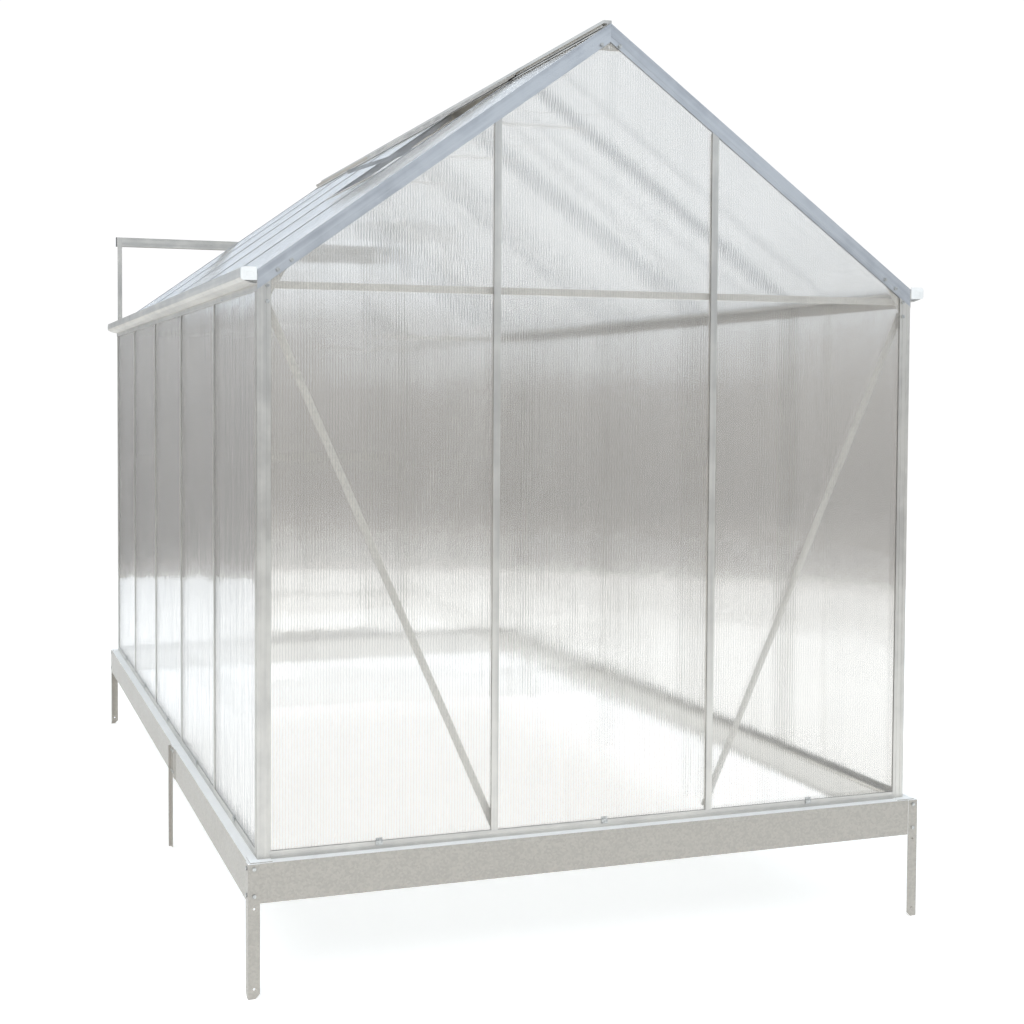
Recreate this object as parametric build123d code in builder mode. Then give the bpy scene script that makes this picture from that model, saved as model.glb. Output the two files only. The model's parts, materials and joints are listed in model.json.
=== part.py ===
from build123d import *
from math import atan2, cos, degrees, radians, sin, tan
import os

# A walk-in greenhouse of aluminium bars and twin-wall sheet on a galvanised base.
# Millimetres. +Z is up, X runs across the house, Y along it. The back gable is at -Y
# and the door gable at +Y. Z is 0 at the tips of the ground stakes, and the origin is
# under the middle of the whole outline.

# Overall sizes
span = 1900.0  # across the corner posts
length = 3100.0  # over the two gable faces
eave_height = 1470.0  # eave line above the top of the base rails
roof_pitch = 35.5  # degrees
side_bays = 5
gable_bays = 3

# Base of folded galvanised steel
rail_height = 100.0
rail_out = 27.0  # how far the rail's web stands outside the frame face
rail_ledge = 35.0  # how far its top flange reaches inside the frame face
rail_lip = 20.0
rail_wall = 1.5
splice_bay = 2  # the side rails are joined under this stud, counted from the back
splice_gap = 1.0
splice_width = 100.0
plate_wall = 2.0  # corner plates, splice plates and gussets
plate_inset = 5.0  # corner plates' edges, inside the rail's web
stake_depth = 238.0  # stake below the rail
stake_leg = 30.0
stake_wall = 2.0
stake_fin = 11.0  # outward leg of the stakes at the side rails' joints
stake_bevel = 12.0
stake_bolt_drops = (12.0, 80.0)  # bolts below the rail's top
stake_hole_heights = (25.0, 226.0)  # open holes above the stake's tip

# Aluminium bars and the sheet that they hold
bar_wall = 1.5
sheet = 4.0
sheet_gap = 0.2  # clearance on each face of a sheet in its slot
edge_gap = 0.5  # clearance at a sheet's edge
fit_gap = 0.3  # clearance between bars that only meet
corner_face = 34.0
corner_web = 14.0  # slot floor, from the corner
rib = 0.8
stud_face = 19.0
roof_bar_face = 20.0
stem_width = 12.4
stem_depth = 12.6
stem_wall = 1.2
stem_mouth = 5.0
rafter_face = 40.0
rafter_slot = 20.0  # the gable sheet's slot starts this far down the rafter's face
rafter_cap = 20.0
sill_height = 20.0
sill_depth = 33.0

# Gutters at the eaves
gutter_reach = 40.0
gutter_lap = 12.0  # the back plate's reach below the eave line, past the rafter's width
gutter_floor = 36.0
gutter_rise = 4.0
gutter_lip = 4.0
roof_overhang = 12.0
cap_wall = 4.0
cap_lap = 2.0  # the end caps' margin outside the trough
cap_corner = 8.0

# Ridge
ridge_bead = (24.0, 9.0)
ridge_top = 13.0  # above the apex of the roof planes
ridge_web = 4.0
ridge_depth = 45.0
ridge_wing = 40.0
hinge_x = 19.0  # axis of the vent hinge, beside and below the apex
hinge_drop = 5.0
hinge_bead = 3.0
hinge_fit = 0.06
hinge_wall = 1.5
hinge_mouth = (52.0, 76.0)  # degrees that the groove is open above and below level

# Stiffening inside the frame
crossbar_lift = 14.1  # centre above the rafters' lower edge at the corners
crossbar_size = (18.0, 12.0)
brace_width = 20.0
brace_wall = 2.0
tie_half = 185.0  # roof ties, half their straight length
tie_tab = 25.0
tie_width = 20.0
gusset_foot = 92.0  # below the eave line
gusset_reach = 104.0  # in from the corner
gusset_lap = 9.0  # clear of the roof line
apex_gusset = (60.0, 71.0)  # half width, depth below the apex
notch_line = 37.0  # sheets are notched to here, below the roof line, around the bolts
notch_in = 31.0
bolt_radius = 3.0
bolt_clearance = 0.3
bolt_head = (5.5, 3.5)  # radius over the corners, height

# Sliding door, hung outside the door gable
door_width = 640.0
door_top = 1814.0  # above the base rails
door_foot = 8.0
door_out = 9.0  # back face of the leaf, outside the gable face
door_depth = 15.0
stile_width = 26.0
lock_rail_height = 860.0
foot_rail_height = 30.0
head_rail_height = 20.0
header_height = 1800.0
door_travel = 610.0
track_drop = 1825.0  # lower edge of the track above the base rails
track_height = 40.0
track_out = (5.0, 30.0)
track_left = -span / 2
track_right = 336.0
track_lip = (7.5, 8.0)  # width and height of the ledge that the rollers run on
roller_radius = 12.0
roller_width = 5.0
roller_bevel = 0.8
roller_spread = 520.0
axle_radius = 3.0
axle_fit = 0.05
handle_length = 150.0
handle_reach = 28.0
handle_height = 950.0

# Roof vent, in one bay of one slope
vent_side = "left"
vent_bay = 1  # bays between it and the back gable
vent_lap = 8.0  # how far the vent laps each roof bar
vent_length = 550.0  # down the slope from the hinge
vent_rail = 18.0
vent_sill_face = 22.0
vent_skirt = 5.5
vent_opening = 35.0  # degrees from shut to fully open
vent_ajar = 5.0  # degrees that it stands open at rest
stay_back = 29.0  # stay pivot, back from the vent's lower edge
stay_drop = 11.0  # stay pivot below the vent's middle plane
stay_width = 12.0
stay_wall = 2.5
stay_pin = 2.5
peg_back = 8.0  # peg that the open stay stands on, back from the vent's sill
peg_drop = 30.0
peg_radius = 3.0
stay_clear = 0.5  # between the open stay's tip and the peg
bracket_reach = 4.0  # the peg's bracket around the peg

# Derived sizes
slot = sheet + 2 * sheet_gap
sheet_in = bar_wall + sheet_gap  # outer face of a sheet, inside the frame face
bar_back = 2 * bar_wall + slot
half_span = span / 2
half_length = length / 2
side_bay = length / side_bays
gable_bay = span / gable_bays
base_z = stake_depth + rail_height
eave_z = base_z + eave_height
slope = radians(roof_pitch)
apex_z = eave_z + half_span * tan(slope)
slope_length = half_span / cos(slope)
gutter_back = rafter_face + gutter_lap
crossbar_z = eave_z - rafter_face / cos(slope) + crossbar_lift
back_reach = rail_out + stake_wall + bolt_head[1]
door_reach = door_out + door_depth + handle_reach
back_y = (back_reach - door_reach - length) / 2
door_y = back_y + length
middle_y = back_y + half_length
UP = Vector(0, 0, 1)
os.makedirs("parts", exist_ok=True)

walls = {
    "back": (Vector(0, back_y, 0), Vector(1, 0, 0), half_span),
    "door": (Vector(0, door_y, 0), Vector(-1, 0, 0), half_span),
    "left": (Vector(-half_span, middle_y, 0), Vector(0, -1, 0), half_length),
    "right": (Vector(half_span, middle_y, 0), Vector(0, 1, 0), half_length),
}
middle_plane = Plane.XZ.offset(-middle_y)


def plan_plane(wall, along, height):
    # Level plane at a wall: x runs along the wall and y into the house.
    middle, run, _ = walls[wall]
    return Plane(origin=middle + run * along + UP * height, x_dir=run, z_dir=UP)


def face_plane(wall, depth):
    # Upright plane inside a wall's face: x along the wall, y up, normal outward.
    middle, run, _ = walls[wall]
    outward = run.cross(UP)
    return Plane(origin=middle - outward * depth, x_dir=run, z_dir=outward)


def cross_plane(wall, along, height):
    # Upright plane across a wall: x runs into the house, y up, normal along the wall.
    middle, run, _ = walls[wall]
    inward = UP.cross(run)
    return Plane(origin=middle + run * along + UP * height, x_dir=inward, z_dir=run)


def rise_direction(side):
    return Vector(cos(slope) if side == "left" else -cos(slope), 0, sin(slope))


def slope_section(side, y, start=0.0):
    # Plane across a roof slope: x along the house, y out of the roof, normal up the slope.
    edge = Vector(walls[side][0].X, y, eave_z)
    rise = rise_direction(side)
    along = Vector(0, 1 if side == "left" else -1, 0)
    return Plane(origin=edge + rise * start, x_dir=along, z_dir=rise)


def slope_plane(side, out):
    # Plane parallel to a roof slope, out from it: x along the house, y up the slope.
    middle, run, _ = walls[side]
    rise = rise_direction(side)
    normal = run.cross(rise)
    return Plane(origin=Vector(middle.X, middle.Y, eave_z) + normal * out, x_dir=run, z_dir=normal)


def strip_outline(points, wall):
    # Outline of a folded strip that keeps to the left of an open run of points.
    path = [Vector(x, y) for x, y in points]
    sides = []
    for start, end in zip(path, path[1:]):
        run = (end - start).normalized()
        sides.append(Vector(-run.Y, run.X))
    inner = [path[0] + sides[0] * wall]
    for corner, before, after in zip(path[1:-1], sides, sides[1:]):
        inner.append(corner + (before + after) * (wall / (1 + before.dot(after))))
    inner.append(path[-1] + sides[-1] * wall)
    return [(point.X, point.Y) for point in path + inner[::-1]]


def strip(points, wall):
    Polygon(*strip_outline(points, wall), align=None)


def block(x_low, x_high, y_low, y_high, mode=Mode.ADD):
    Polygon((x_low, y_low), (x_high, y_low), (x_high, y_high), (x_low, y_high), align=None, mode=mode)


def slot_bar(face):
    # Glazing bar: two flanges and a web hold a sheet on each side; x across, y inward.
    block(-face / 2, face / 2, 0, bar_wall)
    block(-bar_wall / 2, bar_wall / 2, bar_wall, bar_wall + slot)
    block(-face / 2, face / 2, bar_back - bar_wall, bar_back)


def bolt_stem():
    # Open channel on the back of a glazing bar, which takes the bolt heads.
    foot = bar_back + stem_depth
    for side in (-1, 1):
        outer = side * stem_width / 2
        inner = side * (stem_width / 2 - stem_wall)
        block(min(outer, inner), max(outer, inner), bar_back, foot)
        mouth = side * stem_mouth / 2
        block(min(outer, mouth), max(outer, mouth), foot - stem_wall, foot)


def roof_line(x, out=0.0):
    # Height of the roof plane, or of a plane out from it, over a place across the house.
    return eave_z + (half_span - abs(x)) * tan(slope) + out / cos(slope)


def write(piece, name):
    piece.part.label = name
    export_step(piece.part, f"parts/{name}.step")


def mirrored(piece, plane):
    with BuildPart() as copy:
        mirror(piece.part, about=plane)
    return copy


def write_four(piece, suffix):
    # A piece made for the back left corner, and its copies at the other three.
    write(piece, f"back_left_{suffix}")
    write(mirrored(piece, Plane.YZ), f"back_right_{suffix}")
    door_side = mirrored(piece, middle_plane)
    write(door_side, f"door_left_{suffix}")
    write(mirrored(door_side, Plane.YZ), f"door_right_{suffix}")


def stake_spots(wall):
    # Places along a wall of the corner stakes' middle lines.
    reach = walls[wall][2] + rail_out + stake_wall - stake_leg / 2
    return (-reach, reach)


def drill(wall, spots, radius, near, far):
    # Holes through a wall between two depths inside its face; spots are along and height.
    with BuildSketch(face_plane(wall, near)) as holes:
        for spot in spots:
            with Locations(spot):
                Circle(radius)
    extrude(holes.sketch, amount=near - far, mode=Mode.SUBTRACT)


hole_radius = bolt_radius + bolt_clearance
splice_along = {"left": half_length - splice_bay * side_bay, "right": splice_bay * side_bay - half_length}


def splice_spots(wall):
    offset = splice_width / 4
    heights = [base_z - drop for drop in stake_bolt_drops]
    return [(splice_along[wall] + side * offset, height) for side in (-1, 1) for height in heights]


def stake_bolt_spots(wall):
    return [(along, base_z - drop) for along in stake_spots(wall) for drop in stake_bolt_drops]


# Base rails


def base_rail(wall, start, end, mitred_start, mitred_end):
    with BuildPart() as rail:
        with BuildSketch(cross_plane(wall, start, base_z)):
            strip(
                [
                    (rail_ledge, 0),
                    (-rail_out, 0),
                    (-rail_out, -rail_height),
                    (-rail_out + rail_lip, -rail_height),
                ],
                rail_wall,
            )
        extrude(amount=end - start)
        depth = rail_out + rail_ledge
        with BuildSketch(plan_plane(wall, 0, base_z + 1)):
            if mitred_start:
                Polygon((start, -rail_out), (start + depth, rail_ledge), (start, rail_ledge), align=None)
            if mitred_end:
                Polygon((end, -rail_out), (end, rail_ledge), (end - depth, rail_ledge), align=None)
        if mitred_start or mitred_end:
            extrude(amount=-rail_height - 2, mode=Mode.SUBTRACT)
        spots = stake_bolt_spots(wall)
        if wall in splice_along:
            spots += splice_spots(wall)
        inside = [spot for spot in spots if start < spot[0] < end]
        drill(wall, inside, hole_radius, -rail_out - 1, -rail_out + 4)
    return rail


for wall_name in ("back", "door"):
    reach = half_span + rail_out
    write(base_rail(wall_name, -reach, reach, True, True), f"{wall_name}_rail")
for wall_name in ("left", "right"):
    reach = half_length + rail_out
    joint = splice_along[wall_name]
    with BuildPart() as rails:
        add(base_rail(wall_name, -reach, joint - splice_gap / 2, True, False).part)
        add(base_rail(wall_name, joint + splice_gap / 2, reach, False, True).part)
    write(rails, f"{wall_name}_rails")


# Stakes, outside the rails


def corner_stake():
    corner = Vector(-half_span - rail_out - stake_wall, back_y - rail_out - stake_wall, 0)
    with BuildPart() as stake:
        with BuildSketch(Plane(origin=corner, x_dir=(1, 0, 0), z_dir=(0, 0, 1))):
            strip([(0, stake_leg), (0, 0), (stake_leg, 0)], stake_wall)
        extrude(amount=base_z)
        spots = [(stake_spots("back")[0], height) for height in stake_hole_heights]
        spots += [spot for spot in stake_bolt_spots("back") if spot[0] < 0]
        drill("back", spots, hole_radius, -rail_out - stake_wall - 1, -rail_out + 1)
        side_spots = [(stake_spots("left")[1], height) for height in stake_hole_heights]
        side_spots += [spot for spot in stake_bolt_spots("left") if spot[0] > 0]
        drill("left", side_spots, hole_radius, -rail_out - stake_wall - 1, -rail_out + 1)
        toe = stake_leg - stake_bevel
        with BuildSketch(Plane(origin=corner, x_dir=(1, 0, 0), z_dir=(0, -1, 0))):
            Polygon((toe, 0), (stake_leg, 0), (stake_leg, stake_bevel), align=None)
        extrude(amount=-stake_wall, mode=Mode.SUBTRACT)
        with BuildSketch(Plane(origin=corner, x_dir=(0, 1, 0), z_dir=(1, 0, 0))):
            Polygon((toe, 0), (stake_leg, 0), (stake_leg, stake_bevel), align=None)
        extrude(amount=stake_wall, mode=Mode.SUBTRACT)
    return stake


first_stake = corner_stake()
with BuildPart() as stakes:
    add(first_stake.part)
    mirror(first_stake.part, about=Plane.YZ)
    mirror(stakes.part, about=middle_plane)
    for wall_name, doorward in (("left", -1), ("right", 1)):
        outside = -rail_out - plate_wall
        centre = splice_along[wall_name]
        with BuildSketch(face_plane(wall_name, outside)):
            with Locations((centre, base_z / 2)):
                Rectangle(stake_leg, base_z)
            tip = centre - doorward * stake_leg / 2
            Polygon((tip + doorward * stake_bevel, 0), (tip, 0), (tip, stake_bevel), align=None,
                    mode=Mode.SUBTRACT)
        extrude(amount=stake_wall)
        with BuildSketch(face_plane(wall_name, outside)):
            with Locations((centre + doorward * (stake_leg - stake_wall) / 2, base_z / 2)):
                Rectangle(stake_wall, base_z)
        extrude(amount=stake_fin)
        spots = [(centre, height) for height in stake_hole_heights]
        spots += [(centre, base_z - drop) for drop in stake_bolt_drops]
        drill(wall_name, spots, hole_radius, outside - stake_wall - 1, outside + 1)
write(stakes, "stakes")

# Plates outside the side rails' joints, and flat ones that tie the rails under the corner posts
with BuildPart() as base_plates:
    for wall_name in ("left", "right"):
        centre = splice_along[wall_name]
        with BuildSketch(face_plane(wall_name, -rail_out)):
            with Locations((centre, base_z - rail_height / 2)):
                Rectangle(splice_width, rail_height)
        extrude(amount=plate_wall)
        spots = splice_spots(wall_name) + [(centre, base_z - drop) for drop in stake_bolt_drops]
        drill(wall_name, spots, hole_radius, -rail_out - plate_wall - 1, -rail_out + 1)
    plate_reach = rail_out - plate_inset
    plate_size = plate_reach + corner_face
    for side in (-1, 1):
        for end in (-1, 1):
            corner_y = middle_y + end * (half_length + plate_reach)
            corner = Vector(side * (half_span + plate_reach), corner_y, base_z)
            with BuildSketch(Plane(origin=corner, x_dir=(-side, 0, 0), z_dir=(0, 0, side * end))):
                block(0, plate_size, 0, plate_size)
                inside = plate_size - plate_reach / 2
                Polygon((plate_size, inside), (plate_size, plate_size), (inside, plate_size), align=None,
                        mode=Mode.SUBTRACT)
            extrude(amount=side * end * plate_wall)
write(base_plates, "base_plates")


def bolt(wall, along, height, seat, grip):
    # Hexagon bolt through a wall: seat is the depth of the face that its head is on.
    with BuildSketch(face_plane(wall, seat)) as head:
        with Locations((along, height)):
            RegularPolygon(bolt_head[0], 6)
    extrude(head.sketch, amount=bolt_head[1])
    with BuildSketch(face_plane(wall, seat)) as shank:
        with Locations((along, height)):
            Circle(bolt_radius)
    extrude(shank.sketch, amount=-grip)


with BuildPart() as base_bolts:
    for wall_name in walls:
        for along, height in stake_bolt_spots(wall_name):
            bolt(wall_name, along, height, -rail_out - stake_wall, 10)
    for wall_name in splice_along:
        for along, height in splice_spots(wall_name):
            bolt(wall_name, along, height, -rail_out - plate_wall, 10)
        for drop in stake_bolt_drops:
            seat = -rail_out - plate_wall - stake_wall
            bolt(wall_name, splice_along[wall_name], base_z - drop, seat, plate_wall + stake_wall)
write(base_bolts, "base_bolts")

# Sills between the corner posts
for wall_name, (_, _, half) in walls.items():
    reach = half - corner_face - fit_gap
    with BuildPart() as sill:
        with BuildSketch(cross_plane(wall_name, -reach, base_z)):
            block(0, sill_depth, 0, bar_wall)
            block(0, bar_wall, 0, sill_height)
            block(-rib, 0, sill_height / 3, sill_height / 3 + 2)
            block(bar_back - bar_wall, bar_back, 0, sill_height)
            block(sill_depth - bar_wall, sill_depth, 0, sill_height / 2)
        extrude(amount=2 * reach)
    write(sill, f"{wall_name}_sill")

# Bolts of the eave joints, measured in from the corner and from the eave line
post_bolt_in = 25.0
post_bolt_drops = (38.0, 78.0)
rafter_bolt_ins = (51.0, 86.0)
rafter_bolt_out = -29.0
apex_bolt_x = 26.0
apex_bolt_out = -33.0


def eave_bolt_spots(wall):
    spots = []
    for side in (-1, 1):
        spots += [(side * (half_span - post_bolt_in), eave_z - drop) for drop in post_bolt_drops]
        places = [side * (half_span - inward) for inward in rafter_bolt_ins]
        spots += [(x, roof_line(x, rafter_bolt_out)) for x in places]
    return spots


def apex_bolt_spots():
    return [(side * apex_bolt_x, roof_line(apex_bolt_x, apex_bolt_out)) for side in (-1, 1)]


# Corner posts
with BuildPart() as post:
    post_corner = Vector(-half_span, back_y, base_z + plate_wall)
    with BuildSketch(Plane(origin=post_corner, x_dir=(1, 0, 0), z_dir=(0, 0, 1))):
        strip([(0, corner_face), (0, 0), (corner_face, 0)], bar_wall)
        block(corner_web, corner_face, bar_back - bar_wall, bar_back)
        block(corner_web, corner_web + bar_wall, bar_wall, bar_back)
        block(bar_back - bar_wall, bar_back, corner_web, corner_face)
        block(bar_wall, bar_back, corner_web, corner_web + bar_wall)
        for share in (0.3, 0.7):
            block(corner_face * share - 1, corner_face * share + 1, -rib, 0)
    extrude(amount=eave_height - plate_wall)
    with BuildSketch(Plane(origin=post_corner, x_dir=(1, 0, 0), z_dir=(0, 0, 1))):
        for share in (0.3, 0.7):
            block(-rib, 0, corner_face * share - 1, corner_face * share + 1)
    extrude(amount=eave_height - plate_wall - gutter_back - fit_gap)
    with BuildSketch(face_plane("back", -1)):
        low = roof_line(half_span + 5, -rafter_face)
        high = roof_line(half_span - corner_face - 5, -rafter_face)
        left = -half_span - 5
        right = -half_span + corner_face + 5
        Polygon((left, low), (right, high), (right, eave_z + 40), (left, eave_z + 40), align=None)
    extrude(amount=-corner_face - 2, mode=Mode.SUBTRACT)
    drill("back", [spot for spot in eave_bolt_spots("back") if spot[0] < 0], hole_radius, -1, bar_back + 1)
write_four(post, "post")


# Studs of the gables and of the side walls


def gable_stud(x):
    # Full bar above the sill's lips, and its stem alone behind them down to the sill's floor.
    with BuildPart() as stud:
        with BuildSketch(plan_plane("back", x, base_z + sill_height)):
            slot_bar(stud_face)
        extrude(amount=apex_z - base_z)
        with BuildSketch(plan_plane("back", x, base_z + bar_wall)):
            bolt_stem()
        extrude(amount=apex_z - base_z)
        with BuildSketch(face_plane("back", -1)):
            low = roof_line(abs(x) + stud_face, -rafter_face - fit_gap)
            high = roof_line(abs(x) - stud_face, -rafter_face - fit_gap)
            outer, inner = (-stud_face, stud_face) if x < 0 else (stud_face, -stud_face)
            top = apex_z + apex_z
            Polygon((x + outer, low), (x + inner, high), (x + inner, top), (x + outer, top), align=None)
        extrude(amount=-bar_back - stem_depth - 2, mode=Mode.SUBTRACT)
    return stud


gable_studs = [gable_stud(side * gable_bay / 2) for side in (-1, 1)]
with BuildPart() as back_studs:
    for stud in gable_studs:
        add(stud.part)
write(back_studs, "back_studs")
with BuildPart() as door_jambs:
    for stud in gable_studs:
        mirror(stud.part, about=middle_plane)
write(door_jambs, "door_jambs")

# Seat of the roof on the gutter: just under the roof bars' inner flange
seat_drop = bar_back / cos(slope) + bar_wall * tan(slope) + fit_gap
stud_top = eave_z - seat_drop - bar_wall
for wall_name in ("left", "right"):
    with BuildPart() as studs:
        for bay in range(1, side_bays):
            along = bay * side_bay - half_length
            with BuildSketch(plan_plane(wall_name, along, base_z + sill_height)):
                slot_bar(stud_face)
            extrude(amount=stud_top - base_z - sill_height)
            with BuildSketch(plan_plane(wall_name, along, base_z + bar_wall)):
                bolt_stem()
            extrude(amount=stud_top - base_z - bar_wall)
    write(studs, f"{wall_name}_studs")

# Gutters, each one bar with the back plate and the seat of the roof
trough = [
    (-gutter_reach + gutter_lip, gutter_rise),
    (-gutter_reach, gutter_rise),
    (-gutter_reach, -gutter_floor * 0.55),
    (-gutter_reach * 0.8, -gutter_floor * 0.8),
    (-gutter_reach * 0.25, -gutter_floor),
    (0, -gutter_floor),
]
seat_reach = bar_back + stem_depth + 2
for wall_name in ("left", "right"):
    with BuildPart() as gutter:
        with BuildSketch(cross_plane(wall_name, -half_length, eave_z)):
            strip(trough, bar_wall)
            block(-bar_wall, 0, -gutter_back, -seat_drop)
        extrude(amount=length)
        inset = rafter_cap + fit_gap
        with BuildSketch(cross_plane(wall_name, -half_length + inset, eave_z)):
            block(-bar_wall, seat_reach, -seat_drop - bar_wall, -seat_drop)
            block(seat_reach - bar_wall, seat_reach, -seat_drop - 10, -seat_drop)
        extrude(amount=length - 2 * inset)
    write(gutter, f"{wall_name}_gutter")

with BuildPart() as gutter_end_caps:
    for wall_name in ("left", "right"):
        for end, outward in ((-half_length, -1), (half_length, 1)):
            with BuildSketch(cross_plane(wall_name, end, eave_z)) as cap_face:
                cap_low, cap_high = -gutter_floor * 0.75, gutter_rise + cap_lap
                block(-gutter_reach - cap_lap, -bar_wall - fit_gap, cap_low, cap_high)
                outer_edge = cap_face.vertices().group_by(Axis.X)[0]
                fillet(outer_edge, radius=cap_corner)
            extrude(amount=outward * cap_wall)
            with BuildSketch(cross_plane(wall_name, end + outward * cap_wall, eave_z)):
                with Locations((-gutter_reach / 2, -gutter_floor / 3)):
                    SlotOverall(gutter_reach * 0.55, gutter_floor / 3)
            extrude(amount=-outward * cap_wall / 4, mode=Mode.SUBTRACT)
write(gutter_end_caps, "gutter_end_caps")

# Gable rafters, mitred at the apex
with BuildPart() as rafter:
    with BuildSketch(slope_section("left", back_y, -rafter_face)):
        block(0, bar_wall, -rafter_face, 0)
        block(0, rafter_cap, -bar_wall, 0)
        block(rafter_cap / 2 - bar_wall, rafter_cap / 2, -bar_back, 0)
        block(0, rafter_cap, -bar_back, -bar_back + bar_wall)
        block(bar_back - bar_wall, bar_back, -rafter_face, -bar_back + bar_wall)
        block(0, bar_back, -rafter_slot - bar_wall, -rafter_slot)
        block(-rib, 0, -rafter_face * 0.12, 0)
        block(-rib, 0, -rafter_face * 0.68, -rafter_face * 0.52)
    extrude(amount=slope_length + 2 * rafter_face)
    split(bisect_by=Plane.YZ, keep=Keep.BOTTOM)
    split(bisect_by=Plane.YZ.offset(-half_span), keep=Keep.TOP)
    spots = [spot for spot in eave_bolt_spots("back") + apex_bolt_spots() if spot[0] < 0]
    drill("back", spots, hole_radius, -2, bar_back + 1)
write_four(rafter, "rafter")

# Roof bars from the gutters to the ridge
bar_top = slope_length - (ridge_bead[0] / 2 + 1) / cos(slope)
stem_start = (seat_reach - bar_back * sin(slope)) / cos(slope) + fit_gap
for side in ("left", "right"):
    with BuildPart() as roof_bars:
        for bay in range(1, side_bays):
            y = back_y + bay * side_bay
            with BuildSketch(slope_section(side, y, -roof_overhang)):
                block(-roof_bar_face / 2, roof_bar_face / 2, -bar_wall, 0)
                block(-bar_wall / 2, bar_wall / 2, -bar_back, 0)
                block(-roof_bar_face / 2, roof_bar_face / 2, -bar_back, -bar_back + bar_wall)
            extrude(amount=bar_top + roof_overhang)
            with BuildSketch(slope_section(side, y, stem_start)):
                foot = -bar_back - stem_depth
                for edge in (-1, 1):
                    outer = edge * stem_width / 2
                    inner = edge * (stem_width / 2 - stem_wall)
                    block(min(outer, inner), max(outer, inner), foot, -bar_back)
                    mouth = edge * stem_mouth / 2
                    block(min(outer, mouth), max(outer, mouth), foot, foot + stem_wall)
            extrude(amount=bar_top - stem_start - stem_depth * tan(slope))
    write(roof_bars, f"{side}_roof_bars")


# Ridge beam with a hinge groove on each side


def ridge_head(side):
    # The part above the roof: bead, neck, and the groove that a vent's hinge bead turns in.
    block(min(0, side * ridge_bead[0] / 2), max(0, side * ridge_bead[0] / 2),
          ridge_top - ridge_bead[1], ridge_top)
    block(min(0, side * ridge_web / 2), max(0, side * ridge_web / 2), -hinge_drop, ridge_top)
    arm = side * (hinge_x - hinge_bead - hinge_fit)
    block(min(0, arm), max(0, arm), -hinge_drop - hinge_wall / 2, -hinge_drop + hinge_wall / 2)
    with Locations((side * hinge_x, -hinge_drop)):
        Circle(hinge_bead + hinge_fit + hinge_wall)
    with Locations((side * hinge_x, -hinge_drop)):
        Circle(hinge_bead + hinge_fit, mode=Mode.SUBTRACT)
    mouth = 4 * hinge_bead
    above, below = (radians(angle) for angle in hinge_mouth)
    Polygon(
        (side * hinge_x, -hinge_drop),
        (side * (hinge_x + mouth * cos(above)), -hinge_drop + mouth * sin(above)),
        (side * (hinge_x + 2 * mouth), -hinge_drop),
        (side * (hinge_x + mouth * cos(below)), -hinge_drop - mouth * sin(below)),
        align=None,
        mode=Mode.SUBTRACT,
    )


def ridge_skirt(side):
    # The part at and below the roof planes: the web and the wing over the sheets' upper ends.
    block(min(0, side * ridge_web / 2), max(0, side * ridge_web / 2), -ridge_depth, 0)
    block(min(0, side * ridge_bead[0] / 3), max(0, side * ridge_bead[0] / 3),
          -ridge_depth, -ridge_depth + bar_wall)
    drop = ridge_wing * tan(slope)
    lift = sheet_gap / cos(slope)
    top = (sheet_gap + stem_wall) / cos(slope)
    Polygon((0, lift), (0, top), (side * ridge_wing, top - drop), (side * ridge_wing, lift - drop),
            align=None)


def ridge_plane(inset):
    # Plane across the ridge at the apex, inset from the back gable: x across, y up.
    return Plane(origin=(0, back_y + inset, apex_z), x_dir=(1, 0, 0), z_dir=(0, -1, 0))


with BuildPart() as ridge_beam:
    ridge_inset = rafter_cap + fit_gap
    with BuildSketch(ridge_plane(ridge_inset)):
        for side in (-1, 1):
            ridge_head(side)
            ridge_skirt(side)
    extrude(amount=-length + 2 * ridge_inset)
write(ridge_beam, "ridge_beam")

# Ties under the roof bars
with BuildPart() as roof_ties:
    foot = -bar_back - stem_depth - sheet_gap
    knee = (tie_half, roof_line(tie_half, foot) - apex_z)
    end = (tie_half + tie_tab, roof_line(tie_half + tie_tab, foot) - apex_z)
    for bay in range(1, side_bays):
        with BuildSketch(ridge_plane(bay * side_bay - tie_width / 2)):
            strip([end, knee, (-knee[0], knee[1]), (-end[0], end[1])], brace_wall)
        extrude(amount=-tie_width)
write(roof_ties, "roof_ties")

# Crossbars inside the gables, behind the studs
stem_back = bar_back + stem_depth


def crossbar(wall, start, end):
    reach, height = crossbar_size[1], crossbar_size[0] / 2
    with BuildSketch(cross_plane(wall, start, crossbar_z)) as section:
        strip(
            [
                (stem_back + reach, height),
                (stem_back, height),
                (stem_back, -height),
                (stem_back + reach, -height),
            ],
            bar_wall,
        )
    extrude(section.sketch, amount=end - start)


crossbar_end = half_span - bar_back - fit_gap
jamb_in = gable_bay / 2 - stem_width / 2
with BuildPart() as crossbars:
    crossbar("back", -crossbar_end, crossbar_end)
    crossbar("door", -crossbar_end, -jamb_in)
    crossbar("door", jamb_in, crossbar_end)
write(crossbars, "crossbars")

# Flat braces from the eave corners down to the feet of the studs
brace_bolt = 2.3
brace_foot_height = base_z + 35.0


def brace_ends(side):
    top = Vector(side * (half_span - post_bolt_in), eave_z - post_bolt_drops[1])
    foot = Vector(side * gable_bay / 2, brace_foot_height)
    return top, foot


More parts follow.
